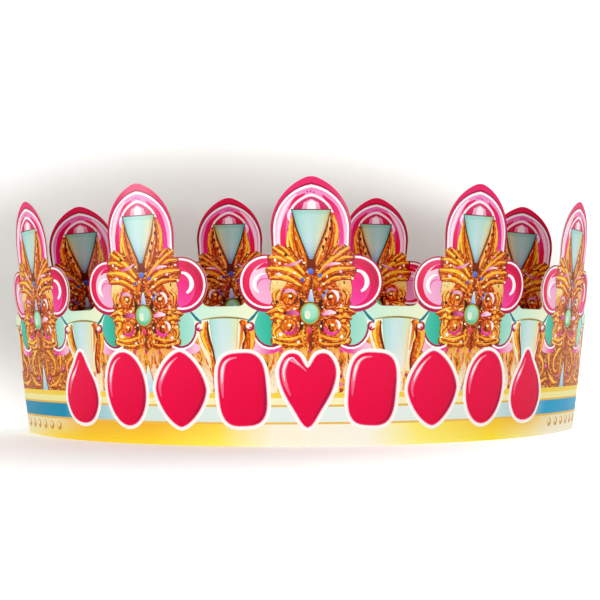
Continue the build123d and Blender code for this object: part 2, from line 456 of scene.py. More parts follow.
# A stone in slices between its two sides: one quad for each slice of each thin row.
# The rows' inks change evenly from one listed height to the next.
def slicedStone(art, sides, cuts, rows, gain, rowHeight):
    for (top, topInks), (low, lowInks) in zip(rows, rows[1:]):
        count = max(1, int(round((top - low) / rowHeight)))
        levels = np.linspace(top, low, count + 1)
        left = np.interp(-levels, -sides[:, 2], sides[:, 0])
        right = np.interp(-levels, -sides[:, 2], sides[:, 1])
        for row in range(count):
            share = (row + 0.5) / count
            inks = [mixInks(one, two, share, gain) for one, two in zip(topInks, lowInks)]
            high, below = [
                [(left[at] + (right[at] - left[at]) * part, levels[at]) for part in cuts]
                for at in (row, row + 1)]
            for number in range(len(cuts) - 1):
                quad = np.array([below[number], below[number + 1], high[number + 1], high[number]])
                ink(art, quad, inks[number], inks[number + 1],
                    (quad[0] + quad[3]) / 2, (quad[1] + quad[2]) / 2)


# The pale panel between two points' rounds, under the level edge.
def gapPanel():
    art = []
    ink(art, [(-20, 43.5), (20, 43.5), (20, 52.4), (-20, 52.4)], "#C6EFDA", "#EEF6CE", (-9, 48), (9, 48))
    return art


# The stone between two points, with its leaves, under a thin gold arc.
def gapStone():
    art = []
    bay = smoothLine([(-11.4, 45.4), (-6, 46.2), (0, 46.6), (6, 46.2), (11.4, 45.4)], 3)
    ink(art, np.vstack([bay, [(9.4, 37), (6.0, 27), (-5.0, 27), (-9.4, 37)]]), "#FFFBEC", "#FCE9B4",
        (0, 45), (0, 30))
    leaf(art, [(-6.6, 45.2), (-8.0, 41.6), (-7.0, 37.2), (-5.0, 33.0), (-4.6, 27.0)],
         [0.8, 2.9, 2.3, 1.4, 1.1], gold[-1], (-0.5, 0.2))
    stroke(art, [(-6.2, 45.6), (-6.0, 40.4), (-4.4, 34.2), (-3.4, 28)], [0.3, 0.9, 0.8, 0.4], "#6A280C")
    leaf(art, [(6.6, 45.6), (9.2, 41.8), (9.0, 36.4), (7.2, 31.6), (7.2, 26.4)], [0.9, 3.9, 3.7, 2.0, 1.2],
         gold[1], (0.9, 0.2))
    stroke(art, [(6.4, 45.8), (6.3, 40.4), (5.2, 34.6)], [0.5, 1.2, 0.5],
           "#D24A10", "#F49A22", (0, 45), (0, 35))
    stroke(art, [(7.4, 44.0), (7.8, 41.0), (7.0, 37.4)], [0.3, 0.9, 0.3], "#5A1C0A")
    stroke(art, [(7.0, 41.6), (7.1, 39.4), (6.6, 37.6)], [0.2, 0.7, 0.2], "#FFE67A")
    sides = np.array([(-5.7, 5.6, 47.0), (-5.0, 4.9, 40.0), (-4.0, 4.4, 33.6), (-3.2, 3.6, 28.0)])
    slicedStone(art, sides, (0, 0.07, 0.4, 0.74, 0.93, 1), [
        (47.0, ("#7FDDB4", "#B4E8E0", "#D4F1F0", "#D6F0E0", "#E2F2B4", "#D8DE6A")),
        (40.0, ("#8CDCC6", "#BDE9E4", "#D6F2F4", "#DDF2E4", "#F2EFC0", "#E8C46A")),
        (33.6, ("#A6E2D6", "#CFEFEC", "#E0F4F4", "#EEF6E8", "#F8EECC", "#F0D08A")),
        (28.0, ("#C8EEE6", "#E4F4F0", "#EEF6F4", "#F6F6EC", "#FBF2DC", "#F6E0B0"))], 0.93, 2.4)
    ink(art, np.vstack([bay, [(13.4, 49.8), (-13.4, 49.8)]]), "#CDF1DC", "#EFF6D0", (-8, 48), (8, 48))
    stroke(art, [(-9.6, 45.6), (-5, 46.4), (0, 46.7), (5, 46.4), (9.6, 45.6)], [0.25, 0.6, 0.7, 0.6, 0.25],
           "#A8A04A", "#8E7420", (-8, 46), (6, 46))
    for side in (-1, 1):
        stroke(art, sided([(8.4, 45.0), (10.2, 46.2), (12.8, 49.2)], side), [0.5, 1.1, 0.7], "#0A7C8A")
        turns = (60, 330) if side < 0 else (120, -150)
        ink(art, scroll(9.3 * side, 43.3, (1.5, 1.2), turns, (0.4, 0.9, 0.9, 0.4), 9), "#B0124C")
        ink(art, oval(9.0 * side, 43.4, 1.0, 0.9, 9), "#FFF4F7")
        ink(art, oval(9.6 * side, 42.9, 0.45, 0.4, 7), "#D84484")
    return art


# The turquoise lobes beside a point, each in a crimson and a white rim.
def turquoise():
    art = []
    teal = {-1: ("#12AE90", "#4CC8B0"), 1: ("#8AD6C0", "#B0E8D6")}
    for side in (-1, 1):
        below = oval(14.4 * side, 43.6, 5.9, 7.2, 22)
        ink(art, oval(16.4 * side, 35.6, 5.6, 2.4, 14),
            "#F0409A", "#FBC6DE", (14 * side, 35), (20 * side, 36))
        ink(art, grow(below, 1.5), "#FFFFFF")
        ink(art, grow(below, 0.75), "#A9124C")
        ink(art, below, *teal[side], (12 * side, 44), (19 * side, 44))
    return art


# The pink rounds beside a point, on top of the panel and the turquoise.
def rosettes():
    art = []
    for side in (-1, 1):
        x, y = point["lobeOffset"] * side, point["lobeHeight"]
        ink(art, oval(x, y, 10.6, 10.6, 40), "#B81850")
        ink(art, oval(x, y, 9.35, 9.35, 36), "#FFFAFC")
    ink(art, oval(-16, 58.9, 8.6, 8.6, 32), "#E8104E", "#F0407E", (-24, 58), (-10, 62))
    ink(art, oval(-14.7, 58.6, 7.3, 7.5, 28), "#FAD3E6", "#F3A6CE", (-20.5, 61), (-13, 56))
    stroke(art, [(-19.4, 63.4), (-16.4, 65.0), (-12, 64.4)], [0.3, 1.7, 2.0], "#EE1058")
    ink(art, oval(-15.2, 57.0, 5.2, 5.6, 22), "#F49CCC", "#F8B8DA", (-12, 60), (-19, 53))
    ink(art, scroll(-16.6, 57.8, (4.3, 3.2), (80, 232), (0.3, 1.2, 1.6, 0.5)), "#FFFDFE")
    ink(art, scroll(-16.4, 57.6, (2.6, 2.8), (70, 190), (0.2, 0.5, 0.2), 7), "#E8508E")
    ink(art, oval(16, 58.9, 8.6, 8.6, 32), "#F2187A", "#DA0A4C", (12, 52), (20, 62))
    ink(art, oval(14.2, 58.0, 7.2, 7.4, 28), "#FA60B4", "#EE1C68", (11, 51), (17, 63))
    ink(art, oval(14.6, 55.9, 5.2, 5.0, 22), "#F84EAA", "#F21E7C", (11, 52), (17, 60))
    ink(art, scroll(16.2, 58.8, (4.4, 3.6), (118, -62), (0.3, 1.3, 1.8, 0.9)), "#FFFDFE")
    ink(art, scroll(16.0, 58.9, (7.4, 7.4), (70, -20), (0.3, 1.1, 0.3)), "#BE0A48")
    return art


# The arched petal with its rims, and the long stone between two leaves in it.
def petal():
    art = []
    ink(art, arch(16.0, 98.5), "#C4104E", "#EC2E6E", (0, 78), (0, 92))
    ink(art, arch(13.75, 94.1), "#8A0834", "#B01848", (0, 80), (0, 93))
    ink(art, arch(13.45, 93.4), "#FFFAFC")
    ink(art, arch(12.75, 92.4), "#FABADC", "#F58CC6", (-2, 76), (2, 92))
    stroke(art, [(-11.2, 68), (-11.5, 78), (-9.2, 85.6), (-5.2, 90)], [1.0, 1.2, 1.3, 0.5], "#FFE6F2")
    ink(art, arch(10.5, 90.4), "#F04E9E", "#F784BE", (0, 70), (0, 90))
    stroke(art, [(-9.8, 67), (-10.0, 77), (-8.6, 83.0)], [1.8, 1.9, 0.6],
           "#F20C58", "#F0407E", (0, 72), (0, 84))
    stroke(art, [(-7.8, 84.8), (-5.4, 88.0), (-2.2, 90.2)], [0.6, 1.9, 0.5], "#EE1C62")
    ink(art, ribbon([(10.2, 67), (10.5, 77), (8.4, 84.8), (4.0, 89.6)], [2.0, 2.2, 2.2, 0.6]),
        "#F030A0", "#E61458", (0, 72), (0, 88))
    stroke(art, [(-7.4, 80.4), (-8.0, 82.4), (-6.6, 86.0)], [0.3, 1.2, 0.3], "#FFEAF4")
    for x, y in [(-0.2, 91.0), (0.9, 90.6), (-1.4, 90.9)]:
        ink(art, oval(x, y, 0.45, 0.4, 7), "#E4489A")
    ogee = smoothLine([
        (-8.0, 83.4), (-6.4, 86.4), (-3.4, 88.9), (0, 90.2), (3.4, 88.9), (6.4, 86.4), (8.0, 83.4)], 3)
    ink(art, ogee, "#FFF2F8")
    ink(art, (ogee - [0, 84]) * [0.88, 0.84] + [0, 84], "#D01250", "#E04880", (0, 84), (0, 90))
    ink(art, [(-3.6, 84), (-2.6, 87.0), (0, 88.3), (2.6, 87.0), (3.6, 84)],
        "#F286B0", "#F9C6DC", (0, 84), (0, 88))
    ink(art, [(-1.6, 84), (-1.2, 87.0), (0.2, 88.0), (1.6, 87.0), (1.8, 84)], "#FFF0F6")
    leftBed = smoothLine([
        (-6.6, 82.4), (-7.8, 79.4), (-8.9, 75), (-9.2, 70), (-8, 64), (-1, 60), (-0.4, 67), (-3, 73),
        (-5.6, 80.4)], 2, True)
    ink(art, leftBed, gold[-1]["full"], gold[-1]["dark"], (-8, 78), (-3, 66), gilt=1.0)
    leaf(art, [(-6.7, 81.6), (-7.3, 76), (-6.0, 70), (-3.2, 64)], [0.5, 1.9, 1.9, 0.8],
         gold[-1], (-0.4, 0.1))
    stroke(art, [(-5.9, 80), (-4.6, 74.6), (-2.6, 68.6), (-1.2, 64)], [0.4, 0.9, 0.9, 0.4],
           gold[-1]["mid"], gilt=0.6)
    stroke(art, [(-8.2, 77), (-8.4, 72.6), (-7.4, 68.6)], [0.3, 0.9, 0.5], "#FFDC70")
    rightBed = smoothLine([
        (6.9, 83.8), (8.6, 82.2), (9.9, 77.6), (9.8, 72), (8.6, 65), (1, 60), (0.4, 67), (3, 73),
        (5.6, 80.4)], 2, True)
    ink(art, rightBed, gold[1]["full"], "#E06A10", (8, 80), (4, 64), gilt=0.7)
    leaf(art, [(7.4, 82.6), (8.7, 77.4), (7.6, 70.6), (4.0, 63.6)], [0.8, 2.0, 2.6, 1.0],
         gold[1], (0.5, 0.1))
    stroke(art, [(6.6, 82.4), (6.2, 77.6), (4.2, 72), (1.6, 65.4)], [0.4, 0.8, 0.9, 0.4],
           "#FFCE74", gilt=0.5)
    for x, y in [(7.1, 80.6), (6.7, 77.8), (5.2, 74.2), (4.2, 71.4)]:
        ink(art, oval(x, y, 0.45, 0.8, 7), "#4A1608")
    ink(art, [(-1.6, 69.0), (1.6, 69.0), (1.6, 62.6), (-1.6, 62.6)], "#8E2E08", "#6A1E06", (0, 69), (0, 63))
    stone = np.array([
        (-6.7, 84.4), (6.7, 84.4), (5.0, 78.1), (2.8, 72.4), (0.6, 67.2), (-0.6, 67.2), (-2.8, 72.4),
        (-5.0, 78.1)])
    ink(art, grow(stone, 0.6), "#5A220A", "#8A3A10", (-6, 80), (6, 80))
    sides = np.array([(-6.7, 6.7, 84.4), (-5.0, 5.0, 78.1), (-2.8, 2.8, 72.4), (-0.6, 0.6, 67.2)])
    slicedStone(art, sides, (0, 0.1, 0.36, 0.64, 0.88, 1), [
        (84.4, ("#86CEC2", "#98DCD2", "#A4E2D8", "#AAE0D2", "#A0D8B8", "#8CC490")),
        (82.9, ("#84D2C4", "#B2E6DE", "#CAF0EB", "#C6EEE2", "#DCECC8", "#C6CE8C")),
        (78.1, ("#84D2C8", "#B8E8E2", "#D2F2EE", "#CCEEE4", "#ECEBC4", "#E2C68A")),
        (74.0, ("#8CD0CC", "#BCE8E8", "#D8F2F4", "#D0ECE6", "#ECE8C8", "#D8B078")),
        (70.4, ("#90C0CC", "#B0D8E2", "#C8E6F0", "#BCDCDC", "#D2D2B8", "#C0A080")),
        (67.2, ("#6C94C0", "#7CA4D0", "#8CB4DC", "#88A8C8", "#90A0B0", "#907878"))], 0.87, 1.2)
    return art


# The gold ornament on a point's axis. Its two halves have their own golds.
def filigree():
    art = []
    edge = [
        (0.2, 63.5), (3.2, 65.6), (5.6, 68.6), (7.6, 71.6), (9.6, 70.6), (11.4, 72.6), (13.2, 71.4),
        (14.8, 72.2), (14.3, 69.4), (15.6, 67.6), (14.3, 65.6), (16.4, 63.4), (15.2, 61.0), (14.2, 59.6),
        (14.8, 56.4), (13.5, 53.4), (14.4, 51.2), (13.4, 49.6), (16.3, 47.8), (13.5, 46.2), (14.3, 43.4),
        (13.3, 40.6), (14.6, 38.4), (13.6, 36.4), (11.6, 37.2), (9, 35.2), (6.6, 36.8), (4.4, 35.2),
        (2.4, 36.2), (0.2, 34.6)]
    right = smoothLine(edge, 2)
    whole = np.vstack([right, flip(right)[::-1]])
    ink(art, whole, "#7E3410")
    inner = grow(whole, -0.4)
    for side in (-1, 1):
        tones = gold[side]
        ink(art, inner[inner[:, 0] * side > 0],
            tones["dark"], tones["full"], (0, 52), (7 * side, 52), gilt=1.0)
        pale = [(8.4, 59.6), (14.0, 59.8), (14.2, 53.4), (12.0, 50.6), (10.8, 55.6)]
        ink(art, smoothLine(sided(pale, side), 2, True),
            "#FFEA9C" if side < 0 else "#FFCC78", tones["mid"], (13 * side, 58), (10 * side, 51), gilt=0.5)
        foot = [(9.0, 40.4), (13.4, 44.6), (13.6, 37.6), (8.0, 36.6)]
        ink(art, smoothLine(sided(foot, side), 2, True),
            tones["light"], tones["mid"], (13 * side, 38), (9 * side, 42), gilt=0.9)
        for points, widths in [
                ([(2.4, 61.8), (7.0, 66.8), (13.6, 71.2)], [0.9, 2.6, 1.2]),
                ([(7.4, 68.4), (9.0, 70.2), (11.4, 72.0)], [0.5, 1.3, 0.6]),
                ([(8.6, 66.2), (11.8, 67.6), (15.0, 67.6)], [0.5, 1.8, 0.8]),
                ([(2.2, 59.6), (8.0, 63.2), (15.6, 63.8)], [0.9, 3.0, 1.2]),
                ([(3.2, 57.4), (8.8, 60.6), (14.8, 60.4)], [0.7, 2.0, 0.7]),
                ([(11.2, 56.6), (13.2, 54.6), (12.6, 51.0)], [0.5, 1.4, 0.6]),
                ([(9.8, 50.2), (12.4, 49.4), (15.8, 47.9)], [0.7, 1.5, 0.6]),
                ([(9.8, 45.8), (12.4, 46.8), (14.6, 45.8)], [0.6, 1.3, 0.4]),
                ([(11.2, 43.6), (13.4, 41.6), (12.4, 38.4)], [0.6, 1.4, 0.5]),
                ([(2.2, 40.2), (7.8, 38.4), (12.6, 38.8)], [0.5, 1.9, 0.7]),
                ([(1.6, 37.6), (6.2, 36.6), (10.4, 37.0)], [0.5, 1.2, 0.5])]:
            leaf(art, sided(points, side), widths, tones, shadow=0.45)
        stroke(art, sided([(4.0, 53.4), (3.2, 51.2), (4.2, 49.0)], side), [0.5, 1.7, 0.5], "#421608")
        stroke(art, sided([(4.2, 45.6), (3.4, 43.4), (4.4, 41.2)], side), [0.4, 1.4, 0.4], "#4C1A08")
        stroke(art, sided([(0.5, 61.6), (1.9, 58.0), (3.6, 54.6)], side), [0.9, 1.5, 0.7],
               tones["full"], tones["mid"], (0, 61), (3 * side, 55), gilt=1.0)
        stroke(art, sided([(1.2, 42.6), (1.6, 39), (1.1, 35.4)], side), [0.5, 1.2, 0.7],
               tones["mid"], tones["full"], (0, 43), (0, 37), gilt=0.9)
        stroke(art, sided([(2.6, 42.4), (3.2, 39), (2.4, 36.0)], side), [0.4, 0.9, 0.5],
               tones["light"], tones["mid"], (0, 43), (0, 37), gilt=0.7)
    volute(art, -7.6, 53.6, 2.7, (120, -140), gold[-1],
           [((150, 20), "#C84C9C", "#F4C8E4"), ((-70, 10), "#8A3A10", "#6A240A")])
    volute(art, 6.9, 53.4, 2.9, (60, 320), gold[1],
           [((185, 105), "#4C6ED8", "#A8C4F0"), ((85, -30), "#F6D8EA", "#FFF6FA")])
    volute(art, -7.9, 43.2, 2.7, (-120, 140), gold[-1], [((-150, 20), "#E8409A", "#C81C6C")])
    volute(art, 7.4, 43.2, 2.9, (-60, -310), gold[1],
           [((180, 330), "#F0249A", "#F06AB8"), ((-25, 60), "#FFE9F2", "#FFFFFF")])
    stroke(art, [(-3.2, 67.0), (-6.0, 65.4), (-9.6, 64.8)], [0.4, 1.1, 0.4],
           "#FBD0E0", "#D8509C", (-3, 67), (-9, 65))
    stroke(art, [(4.6, 64.0), (7.2, 65.4), (10.6, 65.6)], [0.4, 1.2, 0.4],
           "#E8409A", "#FFEFF6", (5, 64), (10, 65))
    stroke(art, [(7.0, 61.0), (9.2, 61.7), (11.4, 61.2)], [0.3, 1.0, 0.3], "#6A1E0A")
    stroke(art, [(-9.6, 47.6), (-6.8, 48.2), (-4.2, 47.6)], [0.6, 2.0, 0.8],
           "#7C1C3C", "#F06CB8", (-9, 47), (-5, 48))
    stroke(art, [(4.0, 47.4), (6.4, 48.2), (9.0, 48.0)], [0.8, 2.0, 0.6],
           "#F080C0", "#FFEAF4", (4, 47), (8, 48))
    for side in (-1, 1):
        for x, y in [(10.6, 48.9), (12.2, 47.4), (10.2, 46.8), (11.6, 45.2)]:
            ink(art, oval(x * side, y, 0.8, 0.6, 7), gold[side]["light"])
        ink(art, oval(9.4 * side, 48.0, 0.6, 0.5, 7), gold[side]["deep"])
    ink(art, [(-0.35, 60), (0.35, 60), (0.45, 35.6), (-0.45, 35.6)], "#8A2E0C")
    ink(art, [(-1.5, 51.4), (1.1, 51.4), (0.3, 56.4), (-0.3, 56.4)],
        "#5A94E8", "#E2ECFA", (-1, 51.4), (0.4, 53.6))
    ink(art, oval(-0.2, 62.8, 1.0, 1.2, 8), "#2449BC", "#5C8AE8", (0, 61), (0, 63.6))
    ink(art, oval(3.2, 61.4, 0.7, 0.8, 7), "#4569CC")
    ink(art, oval(-3.1, 59.8, 0.6, 0.8, 7), "#4A5CC0")
    ink(art, oval(-0.6, 41.8, 0.9, 1.3, 8), "#E01848", "#F0506A", (0, 40), (0, 43))
    spots = [
        (-9, 69), (-5, 63), (-11, 62), (-12, 52), (-10, 57), (-5, 56), (-10, 40), (-4, 38), (5, 58),
        (9, 69), (11, 63.6), (12, 58), (10.6, 51), (11, 40), (5, 38), (3, 56), (-13, 66), (13, 66),
        (-6, 49.6), (6, 50)]
    specks(art, 5, spots, ["#FFFFFF", "#FFD8EA", "#F04CA4", "#FFF4C0", "#FFFFFF", "#5A1C0A"])
    spots = [(x * side + 0.4 * row, 38.5 + 5.6 * row)
             for side in (-1, 1) for row in range(6) for x in (3.6, 12.4)]
    specks(art, 11, spots, ["#FFF6D0", "#FFE27A", "#5A1C0A", "#FFEFB0", "#7A2408", "#FFFFFF"], 0.3, 0.62)
    ink(art, oval(-0.4, 47.8, 3.9, 4.3, 20), "#7A300C")
    ink(art, oval(-0.4, 47.8, 3.55, 3.95, 20), "#E0801C", "#A8B040", (0, 43), (0, 51))
    ink(art, oval(-0.4, 47.8, 3.0, 3.5, 20), "#4CC48E", "#9AE0C0", (-1.5, 44), (1, 50.6))
    ink(art, oval(-0.2, 48.2, 2.3, 2.6, 16), "#98E0BE", "#B8E8D2", (0, 45), (0, 51))
    ink(art, oval(-1.3, 47.4, 1.1, 1.6, 12), "#F2F6D8", "#DFF2E2", (-1.6, 46), (-0.4, 49))
    return art


# The row of red stones across the front.
jewels = {
    "spacing": 23.1,
    "height": 20.6,
    "halfWidth": 9.5,
    "halfHeight": 13.7,
    "shift": -0.02,    # of the whole row, in points
    # kind, lean in degrees
    "row": [("drop", -4), ("oval", 3), ("lozenge", -2), ("cushion", 3), ("heart", 0), ("cushion", -3),
            ("lozenge", 2), ("oval", -3), ("drop", 4)],
}


# Each kind's outline within a unit square: an oval's x and y raised to a power, or a smooth closed line.
def jewelOutline(kind):
    turn = np.linspace(0, 2 * np.pi, 48, endpoint=False)
    x, y = np.cos(turn), np.sin(turn)
    if kind == "oval":
        shape = np.stack([x * 0.94, y], 1)
    elif kind == "cushion":
        shape = np.stack([np.sign(x) * np.abs(x) ** 0.62 * 0.92, np.sign(y) * np.abs(y) ** 0.62 * 0.96], 1)
    elif kind == "lozenge":
        shape = np.stack([np.sign(x) * np.abs(x) ** 1.3 * 1.06, np.sign(y) * np.abs(y) ** 1.3], 1)
    elif kind == "drop":
        shape = smoothLine([
            (0, -0.98), (0.62, -0.84), (0.96, -0.38), (0.84, 0.14), (0.42, 0.62), (0, 1.04), (-0.42, 0.62),
            (-0.84, 0.14), (-0.96, -0.38), (-0.62, -0.84)], 4, True)
    else:
        shape = smoothLine([
            (0, -1.0), (0.52, -0.52), (0.94, 0.02), (1.06, 0.52), (0.78, 0.9), (0.36, 0.9), (0, 0.56),
            (-0.36, 0.9), (-0.78, 0.9), (-1.06, 0.52), (-0.94, 0.02), (-0.52, -0.52)], 4, True)
    return shape * [jewels["halfWidth"], jewels["halfHeight"]] + [0, jewels["height"]]


# A stroke just inside the outline, between two directions from its middle.
def innerStroke(outline, turns, inset, widths):
    centre = np.array([0, jewels["height"]])
    inner = grow(outline, -inset) - centre
    turn = np.degrees(np.arctan2(inner[:, 1], inner[:, 0])) % 360
    order = np.argsort(turn)
    wanted = np.linspace(turns[0], turns[1], 9)
    radius = np.interp(wanted % 360, turn[order], np.hypot(inner[:, 0], inner[:, 1])[order], period=360)
    line = centre + np.stack([radius * np.cos(np.radians(wanted)), radius * np.sin(np.radians(wanted))], 1)
    return ribbon(line, widths, 2)


# One red stone in a white rim, with its shade and highlight, leaning by some degrees.
def jewel(kind, lean):
    art = []
    outline = jewelOutline(kind)
    outline = outline if area(outline) > 0 else outline[::-1]
    ink(art, grow(outline, 1.5), "#FFFEFA")
    ink(art, grow(outline, 0.3), "#EFA0B8")
    ink(art, outline, "#F20048", "#E40040", (-7, 24), (7, 16))
    ink(art, innerStroke(outline, (-80, 30), 0.7, (0.2, 1.2, 1.0, 0.3)), "#B40A40")
    ink(art, innerStroke(outline, (95, 200), 1.5, (0.3, 1.7, 1.4, 0.4)),
        "#F4587E", "#F58CA8", (-8, 16), (-3, 30))
    ink(art, innerStroke(outline, (108, 160), 1.5, (0.2, 0.9, 0.2)), "#FFF0F4")
    turn = np.radians(lean)
    spin = np.array([[np.cos(turn), np.sin(turn)], [-np.sin(turn), np.cos(turn)]])
    centre = np.array([0, jewels["height"]])
    turned = []
    for outline, first, second, start, end, gilt in art:
        outline, start, end = (
            (np.array(points) - centre) @ spin + centre for points in (outline, start, end))
        turned.append((outline, first, second, start, end, gilt))
    return turned


# The band holds points -4 to 4. The next ones at each end are laid too, and the card's edge cuts them off.
pointPlaces = range(-4, 5)
widePlaces = range(-5, 6)
gapPlaces = [place + 0.5 for place in range(-5, 5)]
for place in widePlaces:
    lay(lowOrnament(abs(place) <= 1), place)

# Stripes round the foot of the band.
last = round((endPlace + pastEnd) / gridStep) * gridStep
# place, ink at the rim, ink under the blue
footInks = [
    (-last, "#FFF6D0", "#F6EBC6"), (-2.3, "#FFF2B4", "#F6EBC6"), (-1.9, "#FFDF48", "#F6E4AE"),
    (-1.6, "#FDD434", "#F6BC3A"), (-1.0, "#FFDC36", "#F8BC34"), (-0.6, "#FFEE60", "#FDDC48"),
    (-0.2, "#FBF6DE", "#FBF6DE"), (0.35, "#FBF8E8", "#FBF8E8"), (0.7, "#FFF48A", "#FFF06A"),
    (1.2, "#FFE93B", "#FBCE3E"), (1.6, "#FFF0A0", "#F9C846"), (1.9, "#FFF8E0", "#F6EBC6"),
    (last, "#FFF6D0", "#F6EBC6")]
footLevels = [-0.5, 1.6, 2.9, 4.2, 5.5, 6.8, 8.0]
for number, (low, high) in enumerate(zip(footLevels, footLevels[1:])):
    share = number / (len(footLevels) - 2)
    stripe(low, high, [(place, mixInks(rim, upper, share)) for place, rim, upper in footInks])
# from height, to height, inks from place to place
stripes = [
    (8.0, 8.8, [(-last, "#E2A23A"), (-1.6, "#F0C25A"), (1.6, "#F0C25A"), (last, "#E2A23A")]),
    (8.8, 14.3, [
        (-last, "#0A90B8"), (-1.75, "#0A90B8"), (-1.5, "#7FC4D4"), (-1.1, "#D6EEE8"), (0.2, "#EAF6F2"),
        (1.1, "#E2F2EE"), (1.6, "#9AD2DE"), (1.8, "#1EA2D0"), (last, "#1EA2D0")]),
    (14.3, 15.1, [(-last, "#EDBE48"), (last, "#EDBE48")]),
    (15.1, 17.5, [
        (-last, "#F7EFA5"), (-1.7, "#F7EFA5"), (0, "#FBF6CE"), (1.7, "#F7EFA5"), (last, "#F7EFA5")]),
    (17.5, 19.4, [(-last, "#FFDF4A"), (-1.2, "#F9D548"), (1.2, "#F9D548"), (last, "#FFDF4A")]),
]
for low, high, stops in stripes:
    stripe(low, high, stops)

# Beads hang from the gold line, away from the middle of the front.
beads = {"pitch": 6.2, "height": 5.2, "start": 1.82}
beadArt = []
ink(beadArt, oval(0, beads["height"], 1.7, 1.9, 12), "#DC9A3A", "#F0BE5C", (0, 3.4), (0, 7))
ink(beadArt, oval(-0.3, beads["height"] + 0.4, 0.9, 1.0, 9), "#FFF0BE")
ink(beadArt, ribbon([(0.6, 4.2), (1.0, 5.2), (0.7, 6.2)], [0.3, 0.6, 0.3], 2), "#B4681C")
for number in range(int(endPlace * pitch / beads["pitch"]) + 2):
    place = number * beads["pitch"] / pitch
    if place > beads["start"]:
        lay(beadArt, place)
        lay(beadArt, -place)

for place in gapPlaces:
    lay(gapPanel(), place)
for place in widePlaces:
    lay(turquoise(), place)
for place in gapPlaces:
    lay(gapStone(), place)
for place in widePlaces:
    lay(rosettes(), place)
for place in pointPlaces:
    lay(petal(), place)
    lay(filigree(), place)
for number, (kind, lean) in enumerate(jewels["row"]):
    place = (number - len(jewels["row"]) // 2) * jewels["spacing"] / pitch + jewels["shift"]
    lay(jewel(kind, lean), place)
print("print drawn:", len(shapes), "shapes")


# The print is cut twice: first every shape is laid over the last, then only what shows is cut.
cutting = {
    "snap": 0.001,       # points nearer than this become one
    "slack": 0.012,      # how far a point may lie off a straight run and still be left out
    "longest": 9.0,      # the longest side made by leaving a point out
    "rounds": 6,
    "bendSteps": 11,     # lines up the card over each side bend
    "bendFoot": -0.5,    # they run from here to past the tips
    "bendTop": 99.0,
}


def cut(points, edges, faces):
    made = delaunay_2d_cdt([tuple(p) for p in points], edges, faces, 0, cutting["snap"], True)
    return np.array([tuple(p) for p in made[0]]), made[1], np.array(made[2]), made[4], made[5]


# Each side of each triangle, and for each the number of the triangle across it, or -1.
def sidesOf(triangles, count):
    sides = np.stack([triangles, np.roll(triangles, -1, 1)], 2).reshape(-1, 2)
    code, back = sides @ [count, 1], sides @ [1, count]
    order = np.argsort(code)
    found = np.minimum(np.searchsorted(code[order], back), len(code) - 1)
    other = order[found]
    return sides, code, np.where(code[other] == back, other // 3, -1)


# The lines that show: sides with different inks on their left and right.
def visibleLines():
    outlines = [cardOutline()] + [shape[0] for shape in shapes]
    starts = np.concatenate([[0], np.cumsum([len(outline) for outline in outlines])])
    faces = [list(range(starts[i], starts[i + 1])) for i in range(len(outlines))]
    points, _, triangles, _, madeOf = cut(np.vstack(outlines), [], faces)
    top = np.array([max(of) if 0 in of else -1 for of in madeOf])
    sides, _, across = sidesOf(triangles, len(points))
    left, right = np.repeat(top, 3), np.where(across < 0, -1, top[across])
    keep = left > right
    return points, sides[keep], left[keep], right[keep]


# Points that lie on a straight run of one line are left out, every second one at a time.
def straighten(points, lines, left, right):
    for _ in range(cutting["rounds"]):
        degree = np.bincount(lines.ravel(), minlength=len(points))
        into, outOf = np.full(len(points), -1), np.full(len(points), -1)
        outOf[lines[:, 0]] = np.arange(len(lines))
        into[lines[:, 1]] = np.arange(len(lines))
        middle = np.flatnonzero((degree == 2) & (into >= 0) & (outOf >= 0))
        first, second = into[middle], outOf[middle]
        a, b, c = points[lines[first, 0]], points[middle], points[lines[second, 1]]
        run = c - a
        length = np.maximum(np.linalg.norm(run, axis=1), 1e-9)
        off = np.abs(run[:, 0] * (b - a)[:, 1] - run[:, 1] * (b - a)[:, 0]) / length
        fits = (off < cutting["slack"]) & (length < cutting["longest"])
        fits &= (left[first] == left[second]) & (right[first] == right[second])
        chosen = np.zeros(len(points), bool)
        chosen[middle[fits]] = True
        rank = np.random.default_rng(3).permutation(len(points))
        beats = np.full(len(points), -1)
        for one, two in ((0, 1), (1, 0)):
            np.maximum.at(beats, lines[:, one], np.where(chosen[lines[:, two]], rank[lines[:, two]], -1))
        drop = chosen & (rank > beats)
        if not drop.any():
            break
        which = drop[middle]
        first, second = first[which], second[which]
        lines = lines.copy()
        lines[first, 1] = lines[second, 1]
        stay = np.ones(len(lines), bool)
        stay[second] = False
        lines, left, right = lines[stay], left[stay], right[stay]
    return lines, left, right


# Lines up the card along which the band bends.
def bendLines():
    inFront = np.arange(-round(last / gridStep), round(last / gridStep) + 1) * gridStep
    away = np.linspace(frontEnd, backStart, cutting["bendSteps"])
    lapStart = endPlace - card["lapReach"] / pitch
    atLap = lapStart + np.linspace(0, card["lapRamp"] / pitch, 4)[:3]
    places = np.concatenate([inFront, away, -away, atLap])
    return np.stack([bandPoint(places, cutting["bendFoot"]), bandPoint(places, cutting["bendTop"])], 1)


